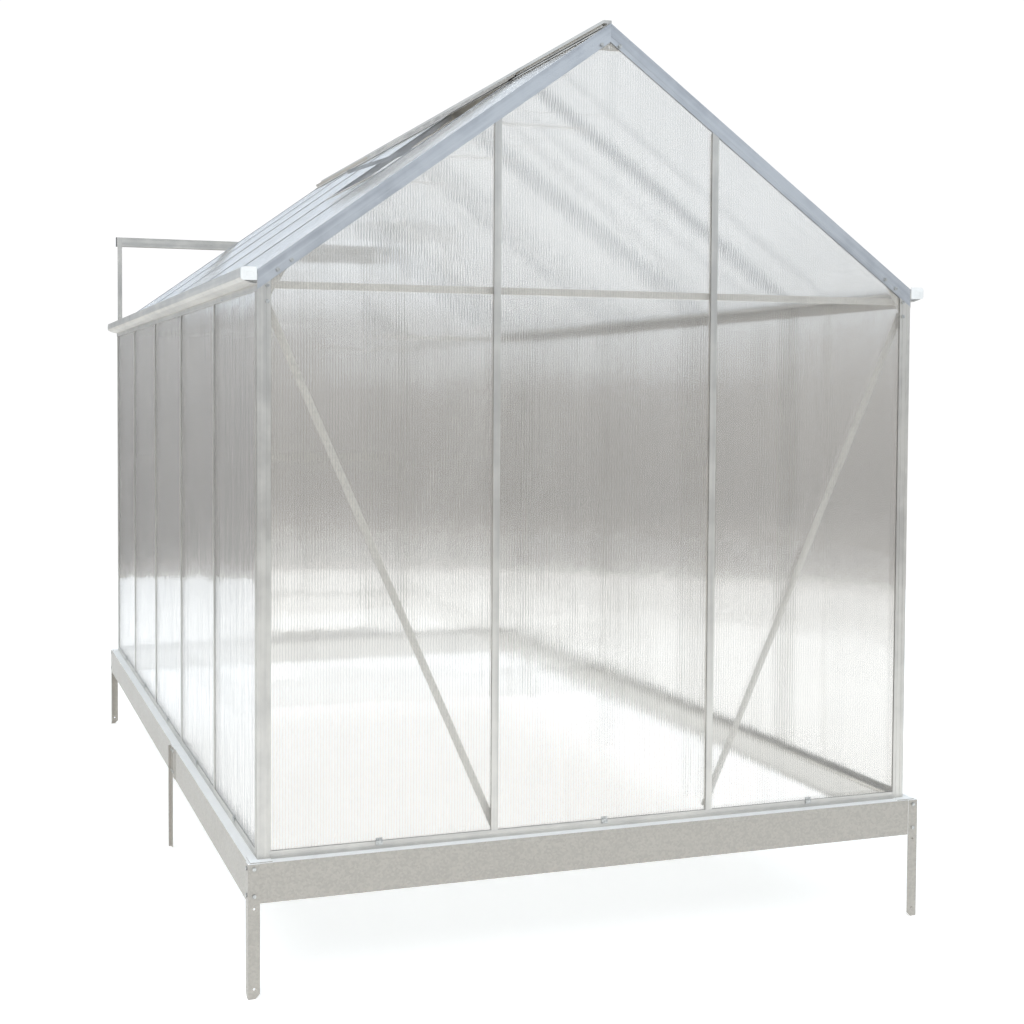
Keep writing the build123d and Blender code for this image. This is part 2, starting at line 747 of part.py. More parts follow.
with BuildPart() as gable_braces:
    for wall_name in ("back", "door"):
        for side in (-1, 1):
            top, foot = brace_ends(side)
            run = (foot - top).normalized()
            across = Vector(-run.Y, run.X) * (brace_width / 2)
            ends = (top - run * brace_width / 2, foot + run * brace_width / 2)
            outline = (ends[0] + across, ends[1] + across, ends[1] - across, ends[0] - across)
            with BuildSketch(face_plane(wall_name, stem_back)):
                Polygon(*[(point.X, point.Y) for point in outline], align=None)
                with Locations((top.X, top.Y)):
                    Circle(hole_radius, mode=Mode.SUBTRACT)
                with Locations((foot.X, foot.Y)):
                    Circle(brace_bolt + bolt_clearance, mode=Mode.SUBTRACT)
            extrude(amount=-brace_wall)
write(gable_braces, "gable_braces")

# Gusset plates behind the eave corners and the apex
eave_gusset = [
    (9, -gusset_foot),
    (22, -gusset_foot),
    (42, -50),
    (58, -24),
    (84, 20),
]
with BuildPart() as gussets:
    for wall_name in ("back", "door"):
        for side in (-1, 1):
            inner = half_span - gusset_reach
            outer = half_span - 9
            outline = [(side * (half_span - across), eave_z + up) for across, up in eave_gusset]
            outline += [(side * x, roof_line(x, -out)) for x, out in ((inner, 34), (inner, 9), (outer, 9))]
            with BuildSketch(face_plane(wall_name, bar_back)):
                Polygon(*outline, align=None)
            extrude(amount=-plate_wall)
        half, depth = apex_gusset
        low_x = (depth - (rafter_face - 4) / cos(slope)) / tan(slope)
        right = [(half, roof_line(half, -gusset_lap)), (half, roof_line(half, 4 - rafter_face)),
                 (low_x, apex_z - depth)]
        left = [(-x, height) for x, height in reversed(right)]
        with BuildSketch(face_plane(wall_name, bar_back)):
            Polygon((0, roof_line(0, -gusset_lap)), *right, *left, align=None)
            with Locations((0, apex_z - depth + 9)):
                Circle(brace_bolt, mode=Mode.SUBTRACT)
        extrude(amount=-plate_wall)
        spots = eave_bolt_spots(wall_name) + apex_bolt_spots()
        drill(wall_name, spots, hole_radius, bar_back - 1, bar_back + plate_wall + 1)
write(gussets, "gussets")

with BuildPart() as frame_bolts:
    for wall_name in ("back", "door"):
        for along, height in eave_bolt_spots(wall_name) + apex_bolt_spots():
            long_bolt = abs(height - eave_z + post_bolt_drops[1]) < 1
            end = stem_back + brace_wall if long_bolt else bar_back + plate_wall
            bolt(wall_name, along, height, -rib, rib + end + bolt_radius)
        for side in (-1, 1):
            foot = brace_ends(side)[1]
            with BuildSketch(face_plane(wall_name, stem_back + brace_wall)):
                with Locations((foot.X, foot.Y)):
                    RegularPolygon(bolt_head[0] - 1, 6)
            extrude(amount=-bolt_head[1])
            with BuildSketch(face_plane(wall_name, stem_back + brace_wall)):
                with Locations((foot.X, foot.Y)):
                    Circle(brace_bolt)
            extrude(amount=brace_wall + 6)
write(frame_bolts, "frame_bolts")

# Small clips that hold the sheets to the sills, one in each bay
clip_width = 18.0
clip_low = 10.0
clip_high = 28.0
with BuildPart() as sheet_clips:
    for wall_name, (_, _, half) in walls.items():
        bays = side_bays if wall_name in splice_along else gable_bays
        width = 2 * half / bays
        for bay in range(bays):
            if wall_name == "door" and bay == gable_bays // 2:
                continue
            along = (bay + 0.5) * width - half
            with BuildSketch(cross_plane(wall_name, along - clip_width / 2, base_z)):
                block(-rib - bar_wall, -rib, clip_low, sill_height + bar_wall)
                block(-rib - bar_wall, bar_wall, sill_height, sill_height + bar_wall)
                block(0, bar_wall, sill_height, clip_high)
            extrude(amount=clip_width)
write(sheet_clips, "sheet_clips")

# Twin-wall sheets
sheet_low = base_z + bar_wall + edge_gap
slot_line = -rafter_slot - bar_wall - edge_gap
web_gap = bar_wall / 2 + edge_gap
corner_edge = corner_web + bar_wall + edge_gap


def gable_sheet(wall, outline):
    with BuildPart() as pane:
        with BuildSketch(face_plane(wall, sheet_in)):
            Polygon(*outline, align=None)
        extrude(amount=-sheet)
    return pane


def side_outline(side):
    # Gable sheet beside a corner post, notched around the bolts of the eave joint.
    inner = gable_bay / 2 + web_gap
    step = half_span - gusset_reach - 8
    notch = half_span - notch_in
    outer = half_span - corner_edge
    low = eave_z - gusset_foot - 6
    outline = [(outer, sheet_low), (inner, sheet_low), (inner, roof_line(inner, slot_line)),
               (step, roof_line(step, slot_line)), (step, roof_line(step, -notch_line)),
               (notch, roof_line(notch, -notch_line)), (notch, low), (outer, low)]
    return [(side * x, height) for x, height in outline]


def middle_outline(low):
    # Gable sheet under the apex, from a low edge upward.
    outer = gable_bay / 2 - web_gap
    step = apex_bolt_x + 16
    right = [(outer, low), (outer, roof_line(outer, slot_line)), (step, roof_line(step, slot_line)),
             (step, roof_line(step, -notch_line)), (0, roof_line(0, -notch_line))]
    return right + [(-x, height) for x, height in reversed(right[:-1])]


header_z = base_z + header_height
write(gable_sheet("back", side_outline(-1)), "back_left_sheet")
write(gable_sheet("back", middle_outline(sheet_low)), "back_middle_sheet")
write(gable_sheet("back", side_outline(1)), "back_right_sheet")
with BuildPart() as door_side_sheets:
    for side in (-1, 1):
        add(gable_sheet("door", side_outline(side)).part)
write(door_side_sheets, "door_side_sheets")
write(gable_sheet("door", middle_outline(header_z + bar_wall + edge_gap)), "over_door_sheet")

for wall_name in ("left", "right"):
    with BuildPart() as sheets:
        for bay in range(side_bays):
            start = bay * side_bay - half_length + (corner_edge if bay == 0 else web_gap)
            end = (bay + 1) * side_bay - half_length - (corner_edge if bay == side_bays - 1 else web_gap)
            with BuildSketch(face_plane(wall_name, sheet_in)):
                block(start, end, sheet_low, stud_top - edge_gap)
            extrude(amount=-sheet)
    write(sheets, f"{wall_name}_wall_sheets")

# Roof sheets; the vent's bay has a short one below the vent's sill
sheet_top = slope_length - (ridge_bead[0] / 2 + 3) / cos(slope)
hinge_down = hinge_x * cos(slope) + hinge_drop * sin(slope)
vent_sill_s = slope_length - hinge_down - vent_length + vent_rail - vent_sill_face / 2
for side in ("left", "right"):
    with BuildPart() as sheets:
        for bay in range(side_bays):
            edge = rafter_cap / 2 + edge_gap
            start = bay * side_bay - half_length + (edge if bay == 0 else web_gap)
            end = (bay + 1) * side_bay - half_length - (edge if bay == side_bays - 1 else web_gap)
            from_back = bay if side == "right" else side_bays - 1 - bay
            vented = side == vent_side and from_back == vent_bay
            top = vent_sill_s - web_gap if vented else sheet_top
            with BuildSketch(slope_plane(side, -sheet_in)):
                block(start, end, -roof_overhang, top)
            extrude(amount=-sheet)
    write(sheets, f"{side}_roof_sheets")

# Door header, between the jambs
with BuildPart() as door_header:
    reach = gable_bay / 2 - stud_face / 2 - fit_gap
    with BuildSketch(cross_plane("door", -reach, header_z)):
        block(0, stem_back, 0, bar_wall)
        block(0, bar_wall, 0, sill_height)
        block(bar_back - bar_wall, bar_back, 0, sill_height)
        block(stem_back - bar_wall, stem_back, 0, sill_height / 2)
    extrude(amount=2 * reach)
write(door_header, "door_header")

# Door track with its end caps, spacers and strut
track_back, track_front = track_out
track_z = base_z + track_drop
with BuildPart() as door_track:
    with BuildSketch(cross_plane("door", -track_right, track_z)):
        block(-track_back - bar_wall, -track_back, 0, track_height)
        block(-track_front, -track_back, track_height - bar_wall, track_height)
        block(-track_front, -track_front + bar_wall, 0, track_height)
        block(-track_front, -track_front + bar_wall + track_lip[0], track_lip[1] - bar_wall, track_lip[1])
    extrude(amount=track_right - track_left)
write(door_track, "door_track")

with BuildPart() as track_end_caps:
    for end, outward in ((-track_right, -1), (-track_left, 1)):
        with BuildSketch(cross_plane("door", end, track_z)):
            block(-track_front - 1, -track_back + 1, -1, track_height + 1)
        extrude(amount=outward * bar_wall)
write(track_end_caps, "track_end_caps")

strut_width = 20.0
strut_wall = 3.0
strut_edge = track_left + 3
strut_foot = eave_z + 30
strut_end = ((half_span - 60, eave_z - 40), (half_span - 46, eave_z - 50))
with BuildPart() as track_supports:
    with BuildSketch(face_plane("door", -track_back + strut_wall)):
        block(-strut_edge - strut_width, -strut_edge, strut_foot, track_z + track_height - 4)
    extrude(amount=strut_wall)
    seat = track_back - strut_wall
    with BuildSketch(face_plane("door", -rib)):
        toe = -strut_edge
        Polygon(
            (toe, strut_foot + 20),
            (toe - strut_width, strut_foot + 20),
            (toe - strut_width, strut_foot),
            *strut_end,
            (toe, strut_foot - 4),
            align=None,
        )
    extrude(amount=seat - rib)
    for along in (-gable_bay / 2, gable_bay / 2):
        with BuildSketch(face_plane("door", 0)):
            with Locations((along, track_z + track_height / 2)):
                Rectangle(stud_face - 1, track_height - 8)
        extrude(amount=track_back)
write(track_supports, "track_supports")

# Guide along the door's foot
guide_lip = 16.0
guide_out = rail_out + 0.5
with BuildPart() as door_guide:
    guide_end = half_span - corner_face - fit_gap
    with BuildSketch(cross_plane("door", -track_right, base_z)):
        block(-guide_out, -rib - fit_gap, 0, bar_wall)
        block(-guide_out, -guide_out + bar_wall, 0, guide_lip)
    extrude(amount=track_right + guide_end)
write(door_guide, "door_guide")

# Door leaf
leaf_front = door_out + door_depth
leaf_mid = door_out + door_depth / 2
leaf_low = base_z + door_foot
leaf_top = base_z + door_top
leaf_half = door_width / 2
slot_depth = 10.0
slot_floor = stile_width - slot_depth


def leaf_box(low, high):
    # Hollow bar of the leaf's depth, open nowhere; x is outward-negative, y from low to high.
    block(-leaf_front, -door_out, low, high)
    block(-leaf_front + bar_wall, -door_out - bar_wall, low + bar_wall, high - bar_wall, Mode.SUBTRACT)


def leaf_lips(low, high):
    # Two lips that hold the leaf's sheet between them.
    for edge in (leaf_mid - slot / 2 - bar_wall, leaf_mid + slot / 2):
        block(-edge - bar_wall, -edge, low, high)


with BuildPart() as door_stiles:
    for side in (-1, 1):
        with BuildSketch(plan_plane("door", 0, leaf_low)):
            outer, floor, inner = (side * leaf_half, side * (leaf_half - slot_floor),
                                   side * (leaf_half - stile_width))
            block(min(outer, floor), max(outer, floor), -leaf_front, -door_out)
            wall = side * bar_wall
            block(min(outer - wall, floor + wall), max(outer - wall, floor + wall),
                  -leaf_front + bar_wall, -door_out - bar_wall, Mode.SUBTRACT)
            for edge in (leaf_mid - slot / 2 - bar_wall, leaf_mid + slot / 2):
                block(min(floor, inner), max(floor, inner), -edge - bar_wall, -edge)
        extrude(amount=leaf_top - leaf_low)
write(door_stiles, "door_stiles")

rail_half = leaf_half - stile_width
foot_rail = (leaf_low, leaf_low + foot_rail_height)
lock_rail = (base_z + lock_rail_height, base_z + lock_rail_height + slot_floor)
head_rail = (leaf_top - head_rail_height, leaf_top)
with BuildPart() as door_rails:
    with BuildSketch(cross_plane("door", -rail_half, 0)):
        for low, high in (foot_rail, lock_rail, head_rail):
            leaf_box(low, high)
        leaf_lips(foot_rail[1], foot_rail[1] + slot_depth)
        leaf_lips(lock_rail[0] - slot_depth, lock_rail[0])
        leaf_lips(lock_rail[1], lock_rail[1] + slot_depth)
        leaf_lips(head_rail[0] - slot_depth, head_rail[0])
    extrude(amount=2 * rail_half)
write(door_rails, "door_rails")

with BuildPart() as door_sheets:
    reach = leaf_half - slot_floor - edge_gap
    with BuildSketch(face_plane("door", -leaf_mid + sheet / 2)):
        block(-reach, reach, foot_rail[1] + edge_gap, lock_rail[0] - edge_gap)
        block(-reach, reach, lock_rail[1] + edge_gap, head_rail[0] - edge_gap)
    extrude(amount=sheet)
write(door_sheets, "door_sheets")

grip_radius = 6.0
grip_foot = 4.0
grip_end = 9.0
with BuildPart() as door_handle:
    handle_along = -leaf_half + slot_floor / 2
    grip_out = leaf_front + handle_reach - grip_radius
    for height in (handle_height, handle_height + handle_length):
        with BuildSketch(face_plane("door", -leaf_front)):
            with Locations((handle_along, base_z + height)):
                Circle(grip_foot)
        extrude(amount=handle_reach - grip_radius)
    with BuildSketch(plan_plane("door", 0, base_z + handle_height - grip_end)):
        with Locations((handle_along, -grip_out)):
            Circle(grip_radius)
    extrude(amount=handle_length + 2 * grip_end)
write(door_handle, "door_handle")

# Rollers, and the hangers that carry the leaf from them
roller_out = track_front - bar_wall - 1 - roller_width / 2
roller_z = track_z + track_lip[1] + fit_gap + roller_radius
hanger_wall = 2.0
hanger_width = 40.0
hanger_foot = 10.0
for name, along in (("left_roller", roller_spread / 2), ("right_roller", -roller_spread / 2)):
    with BuildPart() as roller:
        with BuildSketch(face_plane("door", -roller_out + roller_width / 2)):
            with Locations((along, roller_z)):
                Circle(roller_radius)
                Circle(axle_radius + axle_fit, mode=Mode.SUBTRACT)
        extrude(amount=roller_width)
        rims = roller.edges().filter_by(GeomType.CIRCLE).group_by(SortBy.RADIUS)[-1]
        chamfer(rims, length=roller_bevel)
    write(roller, name)

with BuildPart() as door_hangers:
    for along in (-roller_spread / 2, roller_spread / 2):
        with BuildSketch(face_plane("door", -leaf_mid + hanger_wall / 2)):
            with Locations((along, (leaf_top + roller_z) / 2)):
                Rectangle(hanger_width, roller_z - leaf_top)
            with Locations((along, roller_z)):
                Circle(roller_radius - 2)
        extrude(amount=hanger_wall)
        with BuildSketch(plan_plane("door", along, leaf_top)):
            with Locations((0, -leaf_mid)):
                Rectangle(hanger_width, hanger_foot)
        extrude(amount=hanger_wall)
        with BuildSketch(face_plane("door", -leaf_mid - hanger_wall / 2)):
            with Locations((along, roller_z)):
                Circle(axle_radius)
        extrude(amount=roller_out + roller_width / 2 + 0.5 - leaf_mid - hanger_wall / 2)
write(door_hangers, "door_hangers")


# Roof vent. Local axes of its cross section: x down the slope from the hinge, y out of the roof.
vent_y = back_y + (vent_bay + 0.5) * side_bay
vent_width = side_bay - roof_bar_face + 2 * vent_lap
vent_sign = -1 if vent_side == "left" else 1
across = Vector(0, -vent_sign, 0)
hinge_axis = Vector(vent_sign * hinge_x, vent_y, apex_z - hinge_drop)
roof_rise = rise_direction(vent_side)
hinge_line = Axis((0, 0, 0), across)
vent_rise = roof_rise.rotate(hinge_line, vent_ajar)
flange = slot / 2 + bar_wall


def roof_section(offset):
    # Plane across the hinge, square to the roof.
    return Plane(origin=hinge_axis + across * offset, x_dir=-roof_rise, z_dir=across)


def vent_section(offset):
    # The same plane, turned with the vent.
    return Plane(origin=hinge_axis + across * offset, x_dir=-vent_rise, z_dir=across)


with BuildPart() as vent_frame:
    with BuildSketch(vent_section(-vent_width / 2)):
        Circle(hinge_bead)
        start = hinge_bead + 5
        block(hinge_bead / 2, start + bar_wall, -bar_wall / 2, bar_wall / 2)
        block(start, start + bar_wall, -flange, flange)
        for side in (-1, 1):
            level = side * (flange - bar_wall / 2)
            block(start, start + vent_rail, level - bar_wall / 2, level + bar_wall / 2)
            block(vent_length - vent_rail, vent_length, level - bar_wall / 2, level + bar_wall / 2)
        block(vent_length - bar_wall, vent_length, -vent_skirt, flange)
    extrude(amount=vent_width)
    for side in (-1, 1):
        edge = hinge_axis - across * (side * vent_width / 2)
        with BuildSketch(Plane(origin=edge - vent_rise * start, x_dir=across * side, z_dir=vent_rise * side)):
            block(0, bar_wall, -flange, flange)
            block(0, vent_rail, flange - bar_wall, flange)
            block(0, vent_rail, -flange, -flange + bar_wall)
        extrude(amount=-side * (vent_length - start))
        skirt_start = ridge_wing / cos(slope) - hinge_down + 4
        skirt_corner = edge - vent_rise * skirt_start
        with BuildSketch(Plane(origin=skirt_corner, x_dir=across * side, z_dir=vent_rise * side)):
            block(0, bar_wall, -vent_skirt, -flange)
        extrude(amount=-side * (vent_length - skirt_start))
    pivot = vent_length - stay_back
    ear = stay_width / 2
    with BuildSketch(vent_section(stay_wall / 2 + fit_gap)):
        block(pivot - ear, vent_length - vent_rail + 1, -flange - 1, -flange + bar_wall)
        block(pivot - ear, pivot + ear, -stay_drop - ear, -flange)
    extrude(amount=bar_wall + 0.5)
    with BuildSketch(vent_section(-stay_wall / 2 - 1)):
        with Locations((pivot, -stay_drop)):
            Circle(stay_pin)
    extrude(amount=stay_wall + fit_gap + 2)
write(vent_frame, "vent_frame")

with BuildPart() as vent_sheet:
    start = hinge_bead + 5 + bar_wall + edge_gap
    reach = vent_width / 2 - bar_wall - edge_gap
    with BuildSketch(vent_section(-reach)):
        block(start, vent_length - bar_wall - edge_gap, -sheet / 2, sheet / 2)
    extrude(amount=2 * reach)
write(vent_sheet, "vent_sheet")

# The vent's sill holds the short roof sheet and carries the peg of the stay
peg = Vector(vent_length - vent_rail - peg_back, -peg_drop)
with BuildPart() as vent_sill:
    sill_reach = (side_bay - roof_bar_face) / 2 - fit_gap
    edge = Vector(vent_sign * half_span, vent_y, eave_z)
    start = edge + roof_rise * vent_sill_s - across * sill_reach
    with BuildSketch(Plane(origin=start, x_dir=roof_rise, z_dir=across)):
        slot_bar(vent_sill_face)
    extrude(amount=2 * sill_reach)
    hinge_out = hinge_x * sin(slope) - hinge_drop * cos(slope)
    with BuildSketch(roof_section(stay_wall / 2 + 3)):
        bracket_low = peg.Y - bracket_reach
        block(peg.X - bracket_reach, vent_length - vent_rail + 3, bracket_low, -hinge_out - bar_back)
    extrude(amount=bar_wall + 1)
    with BuildSketch(roof_section(-stay_wall / 2 - 4)):
        with Locations((peg.X, peg.Y)):
            Circle(peg_radius)
    extrude(amount=stay_wall + bar_wall + 7)
write(vent_sill, "vent_sill")

# Stay: folded under the shut vent, and standing on the peg when the vent is fully open
opened = radians(vent_opening)
pivot_x = pivot * cos(opened) + stay_drop * sin(opened)
pivot_y = pivot * sin(opened) - stay_drop * cos(opened)
stay_reach = Vector(peg.X - pivot_x, peg.Y - pivot_y).length - peg_radius - stay_clear
stay_turn = 180 + degrees(atan2(peg.Y - pivot_y, peg.X - pivot_x)) - vent_opening
stay_rest = stay_turn * vent_ajar / vent_opening
stay_axis = vent_section(0).from_local_coords(Vector(pivot, -stay_drop))
stay_rise = vent_rise.rotate(hinge_line, stay_rest)
with BuildPart() as vent_stay:
    with BuildSketch(Plane(origin=stay_axis - across * stay_wall / 2, x_dir=stay_rise, z_dir=across)):
        shoulder = stay_reach - 3 * stay_width
        half = stay_width / 2
        tip = half / 4
        Polygon((0, -half), (shoulder, -half), (stay_reach, -tip), (stay_reach, tip), (shoulder, half),
                (0, half), align=None)
        Circle(half)
        Circle(stay_pin + axle_fit, mode=Mode.SUBTRACT)
    extrude(amount=stay_wall)
write(vent_stay, "vent_stay")

print("apex height", round(apex_z, 2), "back face at", round(back_y, 2), "door face at", round(door_y, 2))
print("vent hinge at", [round(value, 3) for value in hinge_axis])
print("stay pivot at", [round(value, 3) for value in stay_axis], "turns", round(stay_turn, 2), "degrees")
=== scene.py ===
import json
from math import cos, pi, sin

import bmesh
import bpy
from mathutils import Matrix, Vector

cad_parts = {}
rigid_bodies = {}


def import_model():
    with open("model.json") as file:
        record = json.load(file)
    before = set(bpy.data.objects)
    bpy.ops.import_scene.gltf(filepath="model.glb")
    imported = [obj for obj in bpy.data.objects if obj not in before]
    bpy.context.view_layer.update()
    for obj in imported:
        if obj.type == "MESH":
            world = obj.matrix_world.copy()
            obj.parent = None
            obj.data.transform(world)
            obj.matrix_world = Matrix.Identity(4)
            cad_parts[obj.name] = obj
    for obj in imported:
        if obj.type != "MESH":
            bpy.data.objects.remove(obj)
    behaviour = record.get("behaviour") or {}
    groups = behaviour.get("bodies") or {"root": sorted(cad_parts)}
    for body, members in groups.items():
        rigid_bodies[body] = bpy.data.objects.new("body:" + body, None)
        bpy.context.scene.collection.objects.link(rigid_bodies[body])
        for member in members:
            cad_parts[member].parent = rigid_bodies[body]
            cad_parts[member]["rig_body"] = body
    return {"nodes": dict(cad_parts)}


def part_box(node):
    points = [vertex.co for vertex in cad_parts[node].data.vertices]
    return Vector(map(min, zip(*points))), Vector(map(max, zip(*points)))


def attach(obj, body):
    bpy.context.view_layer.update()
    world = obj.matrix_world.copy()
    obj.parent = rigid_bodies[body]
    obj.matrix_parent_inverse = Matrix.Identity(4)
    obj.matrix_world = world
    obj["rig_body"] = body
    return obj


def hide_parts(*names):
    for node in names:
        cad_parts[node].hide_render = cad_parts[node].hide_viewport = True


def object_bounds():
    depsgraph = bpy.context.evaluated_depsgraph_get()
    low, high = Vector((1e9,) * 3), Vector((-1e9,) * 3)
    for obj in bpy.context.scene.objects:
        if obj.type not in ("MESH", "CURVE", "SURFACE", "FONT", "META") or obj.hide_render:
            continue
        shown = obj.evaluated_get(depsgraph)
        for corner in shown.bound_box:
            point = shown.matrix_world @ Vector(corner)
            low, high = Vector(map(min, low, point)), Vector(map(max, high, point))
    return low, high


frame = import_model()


def plainBox():
    return [[float(value) for value in corner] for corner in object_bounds()]


cadBox = plainBox()
nodes = frame["nodes"]
print("frame loaded:", len(nodes), "pieces")


# Shader building

class Wire:
    # A value in a node tree; arithmetic on it adds Math nodes.
    def __init__(self, shader, socket):
        self.shader = shader
        self.socket = socket

    def join(self, operation, first, second):
        return self.shader.node("ShaderNodeMath", {"operation": operation}, {0: first, 1: second})

    def __add__(self, other):
        return self.join("ADD", self, other)

    def __radd__(self, other):
        return self.join("ADD", other, self)

    def __sub__(self, other):
        return self.join("SUBTRACT", self, other)

    def __rsub__(self, other):
        return self.join("SUBTRACT", other, self)

    def __mul__(self, other):
        return self.join("MULTIPLY", self, other)

    def __truediv__(self, other):
        return self.join("DIVIDE", self, other)


class Shader:
    # A material's or the world's node tree.
    def __init__(self, owner):
        owner.use_nodes = True
        self.tree = owner.node_tree
        self.tree.nodes.clear()

    def node(self, kind, settings=None, sockets=None, output=0):
        made = self.tree.nodes.new(kind)
        for name, value in (settings or {}).items():
            setattr(made, name, value)
        for name, value in (sockets or {}).items():
            if isinstance(value, Wire):
                self.tree.links.new(value.socket, made.inputs[name])
            else:
                made.inputs[name].default_value = value
        return Wire(self, made.outputs[output]) if made.outputs else None

    def place(self):
        return self.node("ShaderNodeTexCoord", output="Object")

    def axes(self, vector):
        return [self.node("ShaderNodeSeparateXYZ", sockets={0: vector}, output=axis) for axis in "XYZ"]

    def vectorMath(self, operation, first, second):
        return self.node("ShaderNodeVectorMath", {"operation": operation}, {0: first, 1: second})

    def scaled(self, vector, amount):
        return self.node("ShaderNodeVectorMath", {"operation": "SCALE"}, {0: vector, "Scale": amount})

    def dot(self, first, second):
        return self.node("ShaderNodeVectorMath", {"operation": "DOT_PRODUCT"}, {0: first, 1: second},
                         output="Value")

    def mixColour(self, factor, low, high):
        sockets = {0: factor}
        for name, value in ((6, low), (7, high)):
            sockets[name] = value if isinstance(value, Wire) else (*value, 1.0)
        return self.node("ShaderNodeMix", {"data_type": "RGBA"}, sockets, output=2)

    def noise(self, vector, scale, detail=3.0, roughness=0.5):
        sockets = {"Vector": vector, "Scale": scale, "Detail": detail, "Roughness": roughness}
        return self.node("ShaderNodeTexNoise", sockets=sockets)

    def cells(self, vector, scale):
        return self.node("ShaderNodeTexVoronoi", sockets={"Vector": vector, "Scale": scale}, output="Color")

    def remap(self, value, low, high, start=0.0, end=1.0):
        sockets = {"Value": value, "From Min": low, "From Max": high, "To Min": start, "To Max": end}
        return self.node("ShaderNodeMapRange", {"interpolation_type": "SMOOTHSTEP"}, sockets)

    def bump(self, height, strength, distance, normal=None):
        sockets = {"Height": height, "Strength": strength, "Distance": distance}
        if normal is not None:
            sockets["Normal"] = normal
        return self.node("ShaderNodeBump", sockets=sockets, output="Normal")

    def surface(self, **values):
        named = {"baseColour": "Base Color", "roughness": "Roughness", "metallic": "Metallic",
                 "normal": "Normal", "transmission": "Transmission Weight", "ior": "IOR",
                 "emission": "Emission Color", "emissionStrength": "Emission Strength", "alpha": "Alpha"}
        sockets = {}
        for name, value in values.items():
            sockets[named[name]] = (*value, 1.0) if isinstance(value, tuple) else value
        body = self.node("ShaderNodeBsdfPrincipled", sockets=sockets)
        self.node("ShaderNodeOutputMaterial", sockets={"Surface": body})


# Edge wear: none where the rounded normal agrees with the true one, full where it leaves it
wear = {"samples": 3, "noneAt": 0.985, "fullAt": 0.80}

def wornEdges(shader, radius):
    rounded = shader.node("ShaderNodeBevel", {"samples": wear["samples"]}, {"Radius": radius})
    flat = shader.node("ShaderNodeNewGeometry", output="True Normal")
    return shader.remap(shader.dot(rounded, flat), wear["noneAt"], wear["fullAt"]), rounded


# Coordinates stretched along the way a bar was pushed through its die
def drawnPlace(shader, direction, fine, long):
    place = shader.place()
    along = shader.dot(place, direction)
    line = shader.node("ShaderNodeCombineXYZ", sockets={axis: along * direction[axis] for axis in range(3)})
    return shader.vectorMath("SUBTRACT", shader.scaled(place, fine), shader.scaled(line, fine - long))

def tinted(colour, tint):
    return tuple(part * share for part, share in zip(colour, tint))


aluminium = {
    "colour": (0.665, 0.65, 0.615), "shade": (0.52, 0.51, 0.49), "worn": (0.82, 0.81, 0.79),
    "streaks": (620.0, 1.6), "bands": (60.0, 1.2), "smudgeScale": 9.0, "mottle": (0.38, 0.62),
    "roughness": 0.34, "streakRoughness": 0.22, "smudgeRoughness": 0.18, "metallic": 0.92,
    "edgeRadius": 0.0006, "edgeWear": 0.55, "grooveStrength": 0.25, "grooveDepth": 0.0004,
    # The slope tint below is a painted sky reflection and painted shade: it makes the roof-slope bars bluer
    # and darker
    "plainTint": (1.0, 0.985, 0.965), "paintedSkyReflection": (0.84, 0.885, 0.97),
}


def extrudedAluminium(name, direction, tint=aluminium["plainTint"]):
    material = bpy.data.materials.new(name)
    shader = Shader(material)
    streaks = shader.noise(drawnPlace(shader, direction, *aluminium["streaks"]), 1.0, 2.0)
    bands = shader.noise(drawnPlace(shader, direction, *aluminium["bands"]), 1.0, 2.0)
    smudges = shader.noise(shader.place(), aluminium["smudgeScale"], 4.0, 0.6)
    worn, rounded = wornEdges(shader, aluminium["edgeRadius"])
    mottle = shader.remap(bands * 0.5 + smudges * 0.5, *aluminium["mottle"])
    tone = shader.mixColour(mottle, tinted(aluminium["shade"], tint), tinted(aluminium["colour"], tint))
    tone = shader.mixColour(worn * aluminium["edgeWear"], tone, aluminium["worn"])
    roughness = aluminium["roughness"] + (streaks - 0.5) * aluminium["streakRoughness"]
    roughness = roughness + (smudges - 0.5) * aluminium["smudgeRoughness"]
    grooves = shader.bump(streaks, aluminium["grooveStrength"], aluminium["grooveDepth"], rounded)
    shader.surface(baseColour=tone, roughness=roughness, metallic=aluminium["metallic"], normal=grooves)
    return material


galvanised = {
    "base": ((0.390, 0.362, 0.322), (0.448, 0.416, 0.368)),
    # The inside tones are a lighter copy of the zinc for the parts inside the house: painted light making up
    # for the shade there
    "inside": ((0.66, 0.645, 0.61), (0.76, 0.745, 0.70)),
    # Painted light: the pale colour and the upward and inward ranges below paint faces that look up and the
    # rails' inner faces pale
    "worn": (0.68, 0.66, 0.62), "edgeWear": 0.5, "edgeRadius": 0.0008, "paintedLight": (0.93, 0.92, 0.89),
    "upward": (0.6, 0.95), "inward": (-0.25, -0.6), "railFoot": 0.238, "railFade": 0.002,
    "spangleScale": 190.0, "wanderScale": 30.0, "weatherScale": 4.0, "contrast": (0.25, 0.75),
    "roughness": 0.42, "metallic": 0.35, "grainStrength": 0.12, "grainDepth": 0.0005,
}


